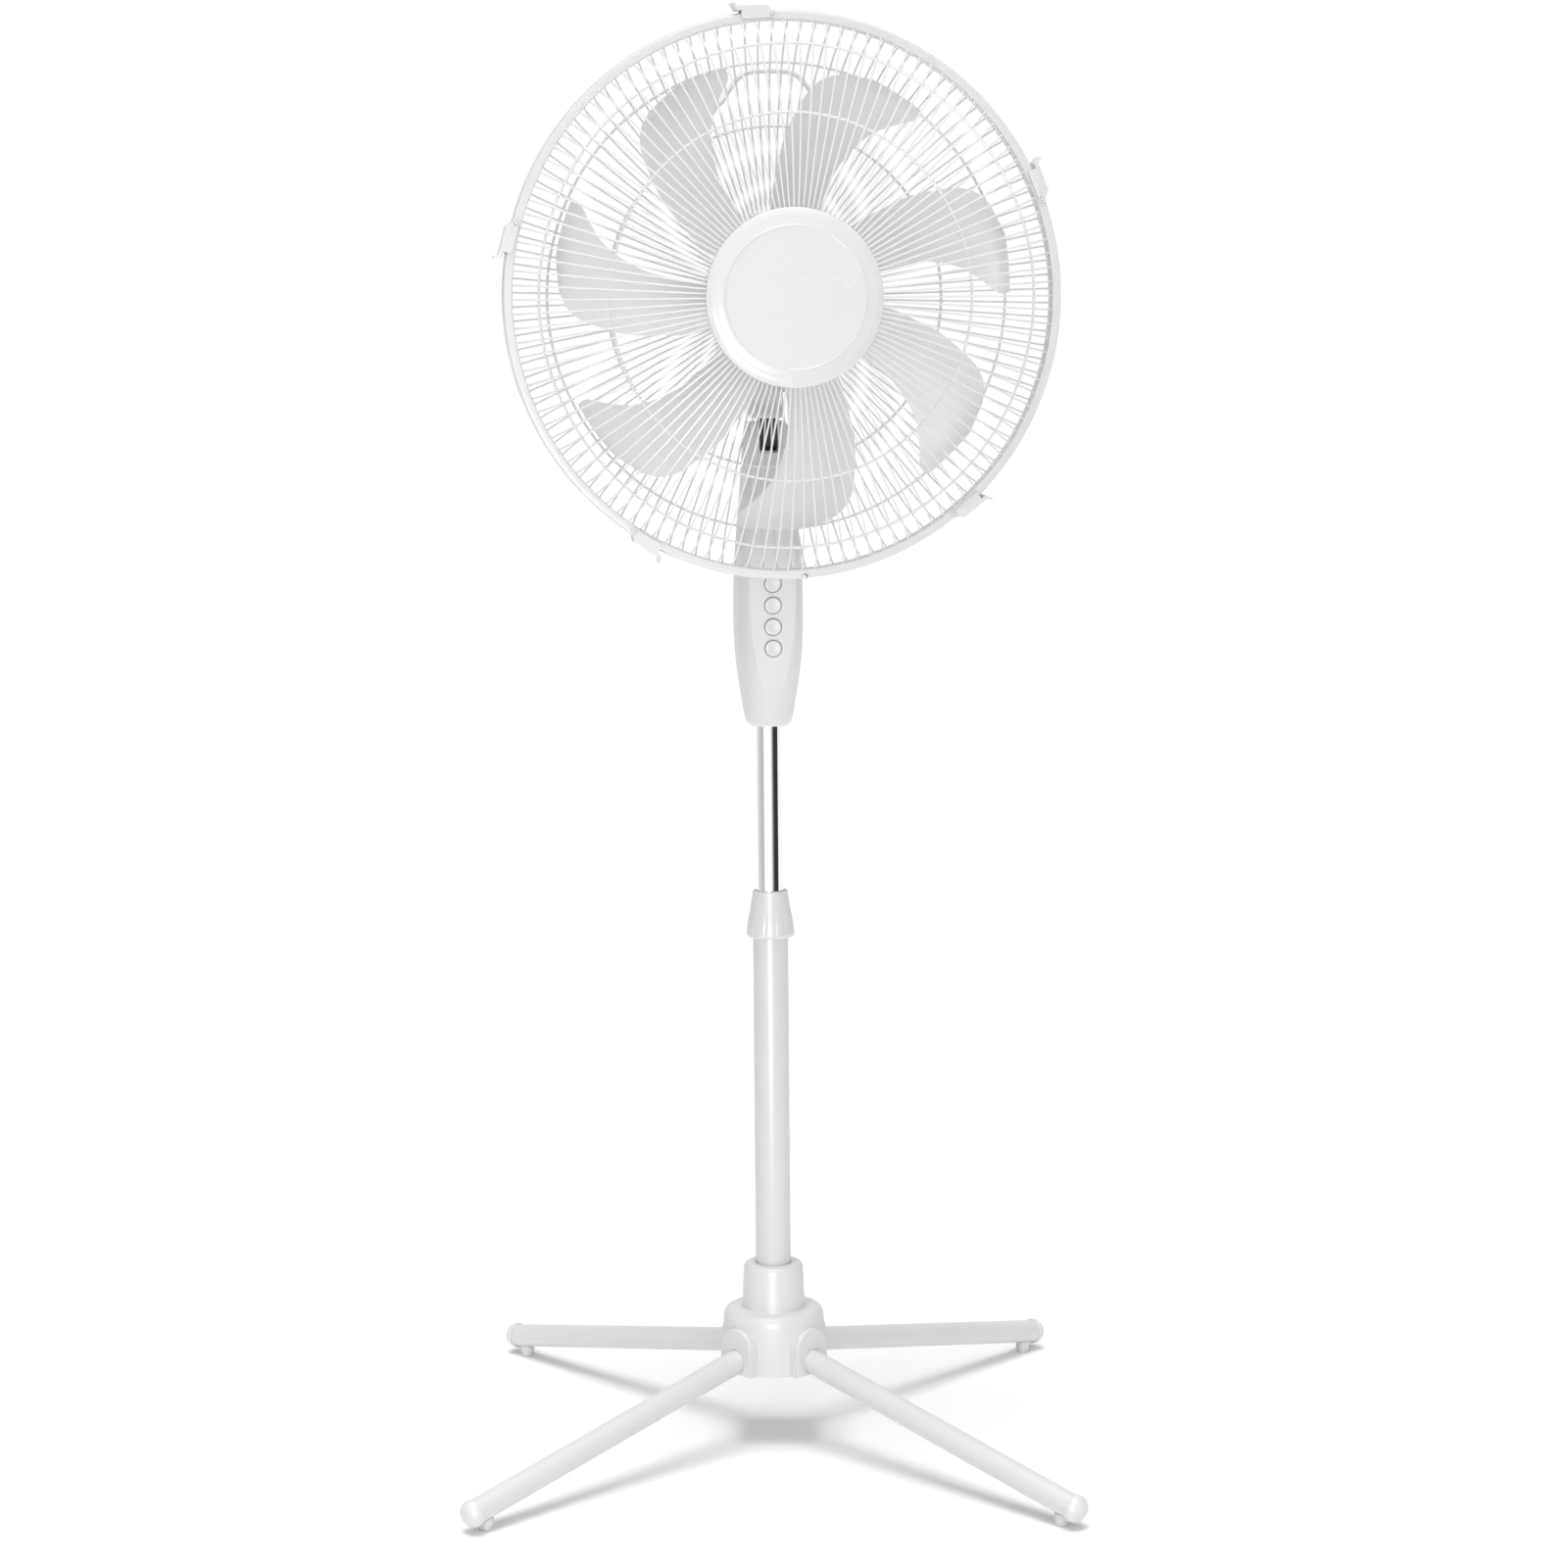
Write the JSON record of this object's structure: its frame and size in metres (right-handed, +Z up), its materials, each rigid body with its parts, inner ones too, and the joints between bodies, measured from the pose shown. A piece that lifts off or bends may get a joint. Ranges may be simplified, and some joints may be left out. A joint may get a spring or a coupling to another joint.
{
  "type": "pedestal fan",
  "caption": "Pedestal fan on a cross base, with a telescopic column, push-button housing and a tilting, oscillating head with curved blades in a wire guard.",
  "frame": {"origin": "on the floor, on the column's axis", "axes": "+Z up the column, -Y towards the side that the head blows to when the column isn't turned; the column stands turned 8 degrees about +Z at rest"},
  "size_m": [0.4762, 0.4762, 1.1448],
  "materials": {
    "white_plastic": "satin",
    "white_paint": "gloss",
    "chrome": "polished",
    "blade_plastic": "satin",
    "guard_wire": "gloss",
    "pad_plastic": "matte",
    "cast_alloy": "cast",
    "steel": "brushed",
    "inner_plastic": "matte"
  },
  "bodies": {
    "base": {"base_hub": "white_plastic", "front_right_leg": "white_paint", "rear_right_leg": "white_paint", "rear_left_leg": "white_paint", "front_left_leg": "white_paint", "front_right_leg_cap": "white_plastic", "rear_right_leg_cap": "white_plastic", "rear_left_leg_cap": "white_plastic", "front_left_leg_cap": "white_plastic", "front_right_foot_pad": "pad_plastic", "rear_right_foot_pad": "pad_plastic", "rear_left_foot_pad": "pad_plastic", "front_left_foot_pad": "pad_plastic", "outer_pole": "white_paint", "pole_foot_plug": "inner_plastic", "pole_foot_bolt": "steel", "clamp_collet": "inner_plastic"},
    "lock_collar": {"height_lock_collar": "white_plastic"},
    "tube_guide": {"inner_tube_guide": "inner_plastic"},
    "column": {"inner_tube": "chrome", "housing_front": "white_plastic", "housing_rear": "white_plastic", "tube_socket": "inner_plastic", "switch_block": "inner_plastic", "motor_capacitor": "inner_plastic", "housing_screw_1": "steel", "housing_screw_2": "steel", "cord_inlet_bush": "inner_plastic", "tilt_bolt": "steel"},
    "tilt_knob": {"tilt_lock_knob": "white_plastic"},
    "neck": {"neck_bracket": "white_plastic", "pivot_bush": "inner_plastic"},
    "link": {"oscillation_link": "steel"},
    "head": {"motor_bracket": "cast_alloy", "motor_stator": "steel", "oscillation_gearbox": "inner_plastic", "motor_cover": "white_plastic", "motor_cover_screw": "steel", "motor_front_plate": "white_plastic", "rear_guard": "guard_wire", "guard_nut": "white_plastic", "carry_handle": "guard_wire", "front_guard": "guard_wire", "front_badge": "white_plastic", "guard_hoop": "white_plastic", "guard_hoop_screw": "steel"},
    "crank": {"oscillation_crank": "steel"},
    "oscillation_knob": {"oscillation_knob": "white_plastic"},
    "impeller": {"motor_rotor": "steel", "impeller": "blade_plastic", "impeller_nut": "white_plastic"},
    "button_off": {"button_off": "white_plastic"},
    "button_low": {"button_low": "white_plastic"},
    "button_medium": {"button_medium": "white_plastic"},
    "button_high": {"button_high": "white_plastic"},
    "guard_clip_1": {"guard_clip_1": "white_plastic"},
    "guard_clip_2": {"guard_clip_2": "white_plastic"},
    "guard_clip_3": {"guard_clip_3": "white_plastic"},
    "guard_clip_4": {"guard_clip_4": "white_plastic"},
    "guard_clip_5": {"guard_clip_5": "white_plastic"}
  },
  "joints": [
    {"name": "height_slide", "type": "slide", "parent": "base", "child": "tube_guide", "axis": [0, 0, 1], "range_m": [-0.12, 0.13]},
    {"name": "column_swivel", "type": "hinge", "parent": "tube_guide", "child": "column", "pos_m": [0, 0, 0.27], "axis": [0, 0, 1], "range_deg": [-90, 90]},
    {"name": "collar_turn", "type": "hinge", "parent": "base", "child": "lock_collar", "pos_m": [0, 0, 0.435], "axis": [0, 0, 1], "range_deg": [0, 120]},
    {"name": "press_off", "type": "slide", "parent": "column", "child": "button_off", "axis": [-0.1392, 0.9903, 0], "range_m": [0, 0.003], "stiffness_N_per_m": 150},
    {"name": "press_low", "type": "slide", "parent": "column", "child": "button_low", "axis": [-0.1392, 0.9903, 0], "range_m": [0, 0.003], "stiffness_N_per_m": 150},
    {"name": "press_medium", "type": "slide", "parent": "column", "child": "button_medium", "axis": [-0.1392, 0.9903, 0], "range_m": [0, 0.003], "stiffness_N_per_m": 150},
    {"name": "press_high", "type": "slide", "parent": "column", "child": "button_high", "axis": [-0.1392, 0.9903, 0], "range_m": [0, 0.003], "stiffness_N_per_m": 150},
    {"name": "tilt", "type": "hinge", "parent": "column", "child": "neck", "pos_m": [0, 0, 0.815], "axis": [0.9903, 0.1392, 0], "range_deg": [-20, 10]},
    {"name": "tilt_knob_turn", "type": "hinge", "parent": "column", "child": "tilt_knob", "pos_m": [0.02575, 0.00362, 0.815], "axis": [0.9903, 0.1392, 0], "range_deg": [-180, 180]},
    {"name": "oscillation", "type": "hinge", "parent": "neck", "child": "head", "pos_m": [0, 0, 0.855], "axis": [0, 0, 1], "range_deg": [-40, 40]},
    {"name": "link_swing", "type": "hinge", "parent": "neck", "child": "link", "pos_m": [0.01584, 0.00223, 0.8718], "axis": [0, 0, 1], "range_deg": [-40, 40]},
    {"name": "crank_turn", "type": "hinge", "parent": "head", "child": "crank", "pos_m": [-0.00445, 0.03169, 0.876], "axis": [0, 0, 1], "continuous": true},
    {"name": "oscillation_knob_slide", "type": "slide", "parent": "head", "child": "oscillation_knob", "axis": [0, 0, 1], "range_m": [-0.008, 0]},
    {"name": "blade_spin", "type": "hinge", "parent": "head", "child": "impeller", "pos_m": [0.00835, -0.05942, 0.926], "axis": [0.1392, -0.9903, 0], "continuous": true},
    {"name": "guard_clip_1_swing", "type": "hinge", "parent": "head", "child": "guard_clip_1", "pos_m": [0.20964, -0.07657, 0.99888], "axis": [-0.1392, 0.9903, 0], "range_deg": [0, 70]},
    {"name": "guard_clip_2_swing", "type": "hinge", "parent": "head", "child": "guard_clip_2", "pos_m": [0.00624, -0.10515, 1.13583], "axis": [-0.1392, 0.9903, 0], "range_deg": [0, 70]},
    {"name": "guard_clip_3_swing", "type": "hinge", "parent": "head", "child": "guard_clip_3", "pos_m": [-0.18559, -0.13212, 0.9828], "axis": [-0.1392, 0.9903, 0], "range_deg": [0, 70]},
    {"name": "guard_clip_4_swing", "type": "hinge", "parent": "head", "child": "guard_clip_4", "pos_m": [-0.10075, -0.12019, 0.75128], "axis": [-0.1392, 0.9903, 0], "range_deg": [0, 70]},
    {"name": "guard_clip_5_swing", "type": "hinge", "parent": "head", "child": "guard_clip_5", "pos_m": [0.14352, -0.08586, 0.76121], "axis": [-0.1392, 0.9903, 0], "range_deg": [0, 70]}
  ],
  "couplings": [
    {"joint": "link_swing", "follows": "oscillation", "ratio": 1}
  ]
}
